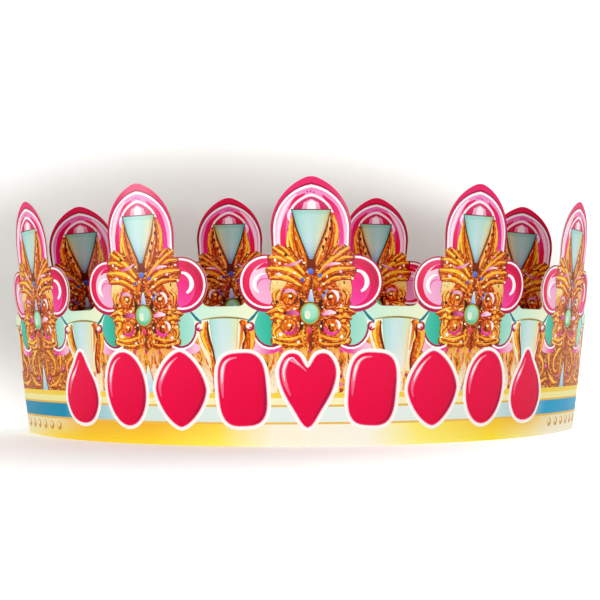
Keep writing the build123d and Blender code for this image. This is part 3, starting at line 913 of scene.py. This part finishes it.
# The shown lines are cut again with the bend lines. A triangle takes the ink of the side
# of a shown line that it lies on, and passes it on across the other sides.
def cutPrint():
    points, lines, left, right = visibleLines()
    lines, left, right = straighten(points, lines, left, right)
    used, lines = np.unique(lines, return_inverse=True)
    lines = lines.reshape(-1, 2)
    bends = bendLines()
    pointsIn = np.vstack([points[used], bends.reshape(-1, 2)])
    more = len(used) + np.arange(2 * len(bends)).reshape(-1, 2)
    edgesIn = [tuple(map(int, edge)) for edge in np.vstack([lines, more])]
    flat, edges, triangles, edgeOf, _ = cut(pointsIn, edgesIn, [])
    sides, code, across = sidesOf(triangles, len(flat))
    edges = np.array(edges)
    source = np.array([min(of) if of else len(lines) for of in edgeOf])
    shown = source < len(lines)
    edges, source = edges[shown], source[shown]
    way = np.sum((flat[edges[:, 1]] - flat[edges[:, 0]])
                 * (pointsIn[lines[source, 1]] - pointsIn[lines[source, 0]]), 1) > 0
    edgeCode = np.concatenate([edges @ [len(flat), 1], edges @ [1, len(flat)]])
    edgeInk = np.concatenate([np.where(way, left[source], right[source]),
                              np.where(way, right[source], left[source])])
    order = np.argsort(edgeCode)
    found = np.minimum(np.searchsorted(edgeCode[order], code), len(order) - 1)
    isShown = edgeCode[order[found]] == code
    owner = np.repeat(np.arange(len(triangles)), 3)
    inks = np.full(len(triangles), -2)
    inks[owner[isShown]] = edgeInk[order[found[isShown]]]
    free = ~isShown & (across >= 0)
    one, two = owner[free], across[free]
    while True:
        fresh = (inks[one] == -2) & (inks[two] > -2)
        if not fresh.any():
            break
        inks[one[fresh]] = inks[two[fresh]]
    centre = flat[triangles].mean(1)
    keep = (inks > 0) & (np.hypot(centre[:, 0], centre[:, 1] + flatRim) > flatRim - cutting["snap"])
    used, triangles = np.unique(triangles[keep], return_inverse=True)
    return flat[used], triangles.reshape(-1, 3), inks[keep] - 1


flat, triangles, inkOf = cutPrint()
print("flat band cut into", len(triangles), "triangles")


# Corner ink = first + (second - first) * how far the corner lies along the shape's own line.
# Corner grain = its reach along that line and across it, and a number of the shape's own.
def cornerInks():
    first, second, start, end = (
        np.array([shape[part] for shape in shapes])[inkOf][:, None] for part in (1, 2, 3, 4))
    line = end - start
    length = np.linalg.norm(line, axis=2)
    offset = flat[triangles] - start
    along = np.sum(offset * line, 2) / length
    across = (offset[:, :, 0] * line[:, :, 1] - offset[:, :, 1] * line[:, :, 0]) / length
    share = np.clip(along / length, 0, 1)[:, :, None]
    grain = np.stack([along, across, 0 * along + inkOf[:, None] * gilding["apart"]], 2)
    return first + (second - first) * share, grain


# The sides that only one triangle has: the band's cut edge.
def cutEdges():
    sides = np.vstack([triangles[:, [0, 1]], triangles[:, [1, 2]], triangles[:, [2, 0]]])
    code = np.sort(sides, 1) @ [1, len(flat)]
    _, index, count = np.unique(code, return_index=True, return_counts=True)
    return sides[index[count == 1]]


# The band's own map: four rows of half a face each, then the cut edge in thin rows.
sheet = {"size": 430.0, "rowHeight": 103.5, "margin": 8.0, "splitPlace": 1.0, "rowGap": 1.0, "edgeRow": 1.2}


def layOut(place, height, edges, edgeLength):
    size, rowHeight, margin, split = (sheet[name] for name in ("size", "rowHeight", "margin", "splitPlace"))
    x, y = place[triangles] * pitch, height[triangles]
    right = (place[triangles].mean(1) > split)[:, None]
    x = np.where(right, x - split * pitch, x + (endPlace * pitch + card["lapReach"])) + margin
    face = np.stack([x, y + sheet["rowGap"] + np.where(right, rowHeight, 0)], 2)
    other = (face + [0, 2 * rowHeight])[:, ::-1]
    run = np.cumsum(edgeLength)
    wide = size - 3 * margin
    row = (run // wide).astype(int)
    left = run - row * wide + margin
    low = 4 * rowHeight + 2 * sheet["rowGap"] + row * sheet["edgeRow"]
    quad = np.stack([np.stack([left + edgeLength, low], 1), np.stack([left, low], 1),
                     np.stack([left, low + card["thickness"]], 1),
                     np.stack([left + edgeLength, low + card["thickness"]], 1)], 1)
    return np.concatenate([face.reshape(-1, 2), other.reshape(-1, 2), quad.reshape(-1, 2)]) / size


# Ink, gilt and grain of each corner: the outer face's, the inner face's, then the bare edge's.
def paintCorners(mesh, edgeCorners):
    inks, grain = cornerInks()
    # The inner face's inks are darkened and deepened: painted shade for the inside of the ring.
    innerShadedInks = inks[:, ::-1] ** card["innerShadeDepth"] * card["innerPaintedShade"]
    gilt = np.repeat(np.array([shape[5] for shape in shapes])[inkOf], 3)
    blank = np.zeros((edgeCorners, 3))
    colour = np.concatenate([inks.reshape(-1, 3), innerShadedInks.reshape(-1, 3), blank + 1])
    colour = np.hstack([colour, np.ones((len(colour), 1))])
    gilt = np.concatenate([gilt, gilt, blank[:, 0]])
    grain = np.concatenate([grain.reshape(-1, 3), grain[:, ::-1].reshape(-1, 3), blank])
    for layers, name, kind, field, values in [
            (mesh.color_attributes, "ink", "FLOAT_COLOR", "color", colour),
            (mesh.attributes, "gilt", "FLOAT", "value", gilt),
            (mesh.attributes, "grain", "FLOAT_VECTOR", "vector", grain)]:
        layer = layers.new(name, kind, "CORNER")
        layer.data.foreach_set(field, values.astype(np.float32).ravel())


# One closed shell: the outer face, the inner face and the cut edge between them.
def bentCard():
    place, height, outer, inner, normal = bendFlat(flat)
    edges = cutEdges()
    count, under = len(triangles), len(flat)
    quads = np.stack([edges[:, 1], edges[:, 0], edges[:, 0] + under, edges[:, 1] + under], 1)
    loops = np.concatenate([triangles.ravel(), (triangles[:, ::-1] + under).ravel(), quads.ravel()])
    sizes = np.concatenate([np.full(2 * count, 3), np.full(len(quads), 4)])
    begins = np.concatenate([[0], np.cumsum(sizes)[:-1]])
    mesh = bpy.data.meshes.new("crown_band_print")
    points = np.vstack([outer, inner]) * mm * [card["trim"], card["trim"], 1]
    points[:, 2] = np.maximum(points[:, 2], 0)
    mesh.vertices.add(len(points))
    mesh.vertices.foreach_set("co", points.astype(np.float32).ravel())
    mesh.loops.add(len(loops))
    mesh.loops.foreach_set("vertex_index", loops.astype(np.int32))
    mesh.polygons.add(len(sizes))
    mesh.polygons.foreach_set("loop_start", begins.astype(np.int32))
    mesh.polygons.foreach_set("material_index", (sizes == 4).astype(np.int32))
    mesh.polygons.foreach_set("use_smooth", sizes == 3)
    mesh.update(calc_edges=True)
    paintCorners(mesh, len(quads) * 4)
    length = np.linalg.norm(flat[edges[:, 0]] - flat[edges[:, 1]], axis=1)
    mesh.uv_layers.new(name="OFBake").data.foreach_set(
        "uv", layOut(place, height, edges, length).astype(np.float32).ravel())
    normals = np.vstack([normal, -normal])[loops]
    corner = points[quads]
    sideways = np.cross(corner[:, 1] - corner[:, 0], corner[:, 3] - corner[:, 0])
    sideways /= np.linalg.norm(sideways, axis=1, keepdims=True)
    normals[6 * count:] = np.repeat(sideways, 4, 0)
    mesh.validate()
    mesh.normals_split_custom_set(normals.tolist())
    crown = bpy.data.objects.new("crown_band_card", mesh)
    bpy.context.scene.collection.objects.link(crown)
    return crown


# Adds a node, sets its properties and sockets and links the named sockets.
def node(tree, kind, settings=(), links=()):
    made = tree.nodes.new(kind)
    for name, value in dict(settings).items():
        if isinstance(name, str) and hasattr(made, name):
            setattr(made, name, value)
        else:
            made.inputs[name].default_value = value
    for name, source in dict(links).items():
        tree.links.new(made.inputs[name], source)
    return made


def shaderTree(name):
    material = bpy.data.materials.new(name)
    material.use_nodes = True
    material.node_tree.nodes.clear()
    return material, material.node_tree


gilding = {
    "streak": (0.7, 1.3, 1.0),    # noise steps for each mm along and across a leaf
    "apart": 3.7,                 # steps from one shape's streaks to the next one's
    # where in the noise a tone begins and is full, how much of it covers, its ink
    "tones": [(0.45, 0.38, 0.65, "#701C04"), (0.52, 0.58, 0.55, "#FFBC2C"), (0.62, 0.68, 0.85, "#FFF4C0")],
}
gloss = {
    "mottle": 0.5,                # mm, the unevenness of the solid inks, drawn coarser than real
    "shade": (0.95, 1.05),
    "wave": 16.0,                 # mm, the board's slow waves under the film
    "roughness": (0.26, 0.40),
    "tooth": 0.05,                # mm, the fibre that shows through
    "film": 0.25,
    "filmRoughness": 0.16,
}


# Boxboard, offset printed and gloss laminated: flat bright inks under one even shine.
# The printed gold is a picture of gilt carving: brown and pale streaks run along each leaf.
def glossPrintedBoard():
    material, tree = shaderTree("gloss_printed_boxboard")
    place = node(tree, "ShaderNodeTexCoord").outputs["Object"]
    inkLayer = node(tree, "ShaderNodeVertexColor", {"layer_name": "ink"}).outputs["Color"]
    giltLayer = node(tree, "ShaderNodeAttribute", {"attribute_name": "gilt"}).outputs["Fac"]
    grain = node(tree, "ShaderNodeAttribute", {"attribute_name": "grain"}).outputs["Vector"]
    stretched = node(
        tree, "ShaderNodeVectorMath", {"operation": "MULTIPLY", 1: gilding["streak"]}, {0: grain})
    streak = node(
        tree, "ShaderNodeTexNoise", {"Scale": 1.0, "Detail": 2.0, "Roughness": 0.65, "Distortion": 0.5},
        {"Vector": stretched.outputs[0]})
    printed = inkLayer
    for low, high, most, code in gilding["tones"]:
        share = node(tree, "ShaderNodeMapRange", {"From Min": low, "From Max": high, "To Max": most},
                     {"Value": streak.outputs["Fac"]})
        share = node(tree, "ShaderNodeMath", {"operation": "MULTIPLY"}, {0: share.outputs[0], 1: giltLayer})
        printed = node(tree, "ShaderNodeMix", {"data_type": "RGBA", 7: (*srgb(code), 1)},
                       {0: share.outputs[0], 6: printed}).outputs[2]
    mottle = node(tree, "ShaderNodeTexNoise", {"Scale": 1 / (gloss["mottle"] * mm), "Detail": 3.0},
                  {"Vector": place})
    shade = node(tree, "ShaderNodeMapRange", {"To Min": gloss["shade"][0], "To Max": gloss["shade"][1]},
                 {"Value": mottle.outputs["Fac"]})
    printed = node(tree, "ShaderNodeHueSaturation", {}, {"Color": printed, "Value": shade.outputs[0]})
    wave = node(tree, "ShaderNodeTexNoise", {"Scale": 1 / (gloss["wave"] * mm), "Detail": 2.0},
                {"Vector": place})
    rough = node(
        tree, "ShaderNodeMapRange", {"To Min": gloss["roughness"][0], "To Max": gloss["roughness"][1]},
        {"Value": wave.outputs["Fac"]})
    tooth = node(tree, "ShaderNodeBump", {"Strength": 0.12, "Distance": gloss["tooth"] * mm},
                 {"Height": mottle.outputs["Fac"]})
    board = node(
        tree, "ShaderNodeBsdfPrincipled",
        {"IOR": 1.5, "Specular IOR Level": 0.0, "Coat Weight": gloss["film"],
         "Coat Roughness": gloss["filmRoughness"]},
        {"Base Color": printed.outputs[0], "Roughness": rough.outputs[0], "Normal": tooth.outputs[0]})
    node(tree, "ShaderNodeOutputMaterial", {}, {"Surface": board.outputs[0]})
    return material


rawEdge = {"fibre": 0.4, "dark": "#CFC6B8", "pale": "#F3EEE4", "roughness": 0.85}  # the fibre in mm


# Raw cut boxboard: pale matt fibre layers along the edge.
def rawBoardEdge():
    material, tree = shaderTree("raw_cut_boxboard")
    place = node(tree, "ShaderNodeTexCoord").outputs["Object"]
    fibre = node(tree, "ShaderNodeTexNoise", {"Scale": 1 / (rawEdge["fibre"] * mm), "Detail": 2.0},
                 {"Vector": place})
    shade = node(tree, "ShaderNodeValToRGB", {}, {"Fac": fibre.outputs["Fac"]})
    shade.color_ramp.elements[0].color = (*srgb(rawEdge["dark"]), 1)
    shade.color_ramp.elements[1].color = (*srgb(rawEdge["pale"]), 1)
    board = node(tree, "ShaderNodeBsdfPrincipled", {"Roughness": rawEdge["roughness"]},
                 {"Base Color": shade.outputs[0]})
    node(tree, "ShaderNodeOutputMaterial", {}, {"Surface": board.outputs[0]})
    return material


crown = bentCard()
crown.data.materials.append(glossPrintedBoard())
crown.data.materials.append(rawBoardEdge())
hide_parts("crown_band")
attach(crown, "root")
print("card bent:", len(crown.data.polygons), "faces")

# Floor, backdrop, light and camera.
studio = {
    "wallY": 0.095,          # the sweep stands close behind the object, as its shade on it shows
    "bendRadius": 0.03,
    "width": 6.0,
    "front": -2.5,
    "top": 3.0,
    "paper": "#F0F0ED",
    # The ellipsoid round the object where the paper's white is held back: painted shade.
    "shadeMiddle": (-0.045, 0, 0.072),
    "shadeReach": (0.202, 0.2, 0.079),
    "shadeNear": 0.7,
    "shadeFar": 1.4,
    "sky": 0.46,
}
lamps = [
    # name, centre, aim, width and height in metres, watts, colour
    ("left_strip", (-0.26, -0.44, 0.035), (0, 0, 0.05), 0.34, 0.06, 0.52, "#FFFFFF"),
    ("right_strip", (0.26, -0.44, 0.035), (0, 0, 0.05), 0.34, 0.06, 0.73, "#FFFFFF"),
    ("right_card", (0.30, 0.06, 0.07), (0, 0, 0.05), 0.10, 0.14, 0.07, "#FFFFFF"),
    ("side_softbox", (-0.62, -0.37, 0.05), (0, 0, 0.05), 0.15, 0.09, 0.80, "#FFFFFF"),
    # a small white card behind the front wall, which lights the print inside the back
    ("inner_card", (0.024, -0.007, 0.024), (0.024, 0.045, 0.075), 0.072, 0.024, 0.016, "#FFFFFF"),
]
eye = {
    "place": (-14.63, -377.7, 32.0),    # mm
    "tilt": 0.059,                      # radians, as the turn and roll
    "turn": -0.0338,
    "roll": 0.0051,
    "lens": 57.24,
    "shiftX": -0.004,
    "shiftY": 0.0012,
}


# Plain paper sweep: matt, with the object's real soft shadow on it. Its white is added for the camera and
# for reflections, and rises outside an ellipsoid round the object; inside it the paper is left darker as
# painted shade. distance = length of (place - middle) / reach. White begins at the near distance and is
# full at the far.
# From behind the paper is clear, so that the object's back can be seen.
def sweepPaper():
    material, tree = shaderTree("paper_sweep_with_painted_shade")
    rays = node(tree, "ShaderNodeLightPath").outputs
    seen = rays["Is Camera Ray"]
    for kind in ("Is Glossy Ray", "Is Transmission Ray"):
        seen = node(tree, "ShaderNodeMath", {"operation": "MAXIMUM"}, {0: seen, 1: rays[kind]}).outputs[0]
    place = node(tree, "ShaderNodeTexCoord").outputs["Object"]
    offset = node(
        tree, "ShaderNodeVectorMath", {"operation": "SUBTRACT", 1: studio["shadeMiddle"]}, {0: place})
    share = node(
        tree, "ShaderNodeVectorMath", {"operation": "DIVIDE", 1: studio["shadeReach"]},
        {0: offset.outputs[0]})
    distance = node(tree, "ShaderNodeVectorMath", {"operation": "LENGTH"}, {0: share.outputs[0]})
    near, far = studio["shadeNear"], studio["shadeFar"]
    white = node(
        tree, "ShaderNodeMapRange",
        {"interpolation_type": "SMOOTHSTEP", "From Min": near, "From Max": far},
        {"Value": distance.outputs["Value"]})
    glow = node(tree, "ShaderNodeMath", {"operation": "MULTIPLY"}, {0: seen, 1: white.outputs[0]})
    paper = node(tree, "ShaderNodeBsdfPrincipled", {
        "Base Color": (*srgb(studio["paper"]), 1), "Roughness": 0.95, "Specular IOR Level": 0.0,
        "Emission Color": (1, 1, 1, 1)}, {"Emission Strength": glow.outputs[0]})
    behind = node(tree, "ShaderNodeNewGeometry").outputs["Backfacing"]
    clear = node(tree, "ShaderNodeBsdfTransparent")
    oneSided = node(tree, "ShaderNodeMixShader", {}, {0: behind, 1: paper.outputs[0], 2: clear.outputs[0]})
    node(tree, "ShaderNodeOutputMaterial", {}, {"Surface": oneSided.outputs[0]})
    return material


# A sweep: its profile runs along the floor, round a quarter circle and up the wall.
def paperSweep():
    turn = np.linspace(0, np.pi / 2, 13)
    r, wall = studio["bendRadius"], studio["wallY"]
    profile = np.vstack([[(studio["front"], 0)],
                         np.stack([wall - r + r * np.sin(turn), r - r * np.cos(turn)], 1),
                         [(wall, studio["top"])]])
    sides = np.array([-1, 1]) * studio["width"] / 2
    points = [(x, y, z) for y, z in profile for x in sides]  # two columns, one at each side
    faces = [(2 * i, 2 * i + 1, 2 * i + 3, 2 * i + 2) for i in range(len(profile) - 1)]
    mesh = bpy.data.meshes.new("paper_sweep")
    mesh.from_pydata(points, [], faces)
    mesh.polygons.foreach_set("use_smooth", [True] * len(faces))
    mesh.materials.append(sweepPaper())
    sweep = bpy.data.objects.new("paper_sweep", mesh)
    bpy.context.scene.collection.objects.link(sweep)
    return sweep


# Turns a lamp so that its light falls along the line to the target.
def aimAt(thing, target):
    offset = np.array(target) - np.array(thing.location)
    thing.rotation_euler = (np.arctan2(np.hypot(offset[0], offset[1]), -offset[2]), 0,
                            np.arctan2(-offset[0], offset[1]))


paperSweep()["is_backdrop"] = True
for name, centre, aim, width, height, watts, colour in lamps:
    lamp = bpy.data.lights.new(name, "AREA")
    lamp.shape, lamp.size, lamp.size_y = "RECTANGLE", width, height
    lamp.energy, lamp.color = watts, tuple(srgb(colour))
    holder = bpy.data.objects.new(name, lamp)
    holder.location = centre
    aimAt(holder, aim)
    holder.visible_camera = False
    bpy.context.scene.collection.objects.link(holder)

world = bpy.data.worlds.new("white_room")
bpy.context.scene.world = world
world.use_nodes = True
world.node_tree.nodes.clear()
rays = node(world.node_tree, "ShaderNodeLightPath").outputs
sky = node(world.node_tree, "ShaderNodeBackground", {"Color": (1, 1, 1, 1), "Strength": studio["sky"]})
white = node(world.node_tree, "ShaderNodeBackground", {"Color": (1, 1, 1, 1), "Strength": 1.0})
mixed = node(world.node_tree, "ShaderNodeMixShader", {},
             {0: rays["Is Camera Ray"], 1: sky.outputs[0], 2: white.outputs[0]})
node(world.node_tree, "ShaderNodeOutputWorld", {}, {"Surface": mixed.outputs[0]})

camera = bpy.data.objects.new("photo_camera", bpy.data.cameras.new("photo_camera"))
bpy.context.scene.collection.objects.link(camera)
camera.data.lens, camera.data.shift_x, camera.data.shift_y = eye["lens"], eye["shiftX"], eye["shiftY"]
camera.data.clip_start, camera.data.clip_end = 0.01, 20
camera.location = np.array(eye["place"]) * mm
camera.rotation_euler = (np.pi / 2 + eye["tilt"], eye["roll"], eye["turn"])
bpy.context.scene.camera = camera
bpy.context.scene.view_settings.view_transform = "Standard"
print("stage set")

low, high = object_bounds()
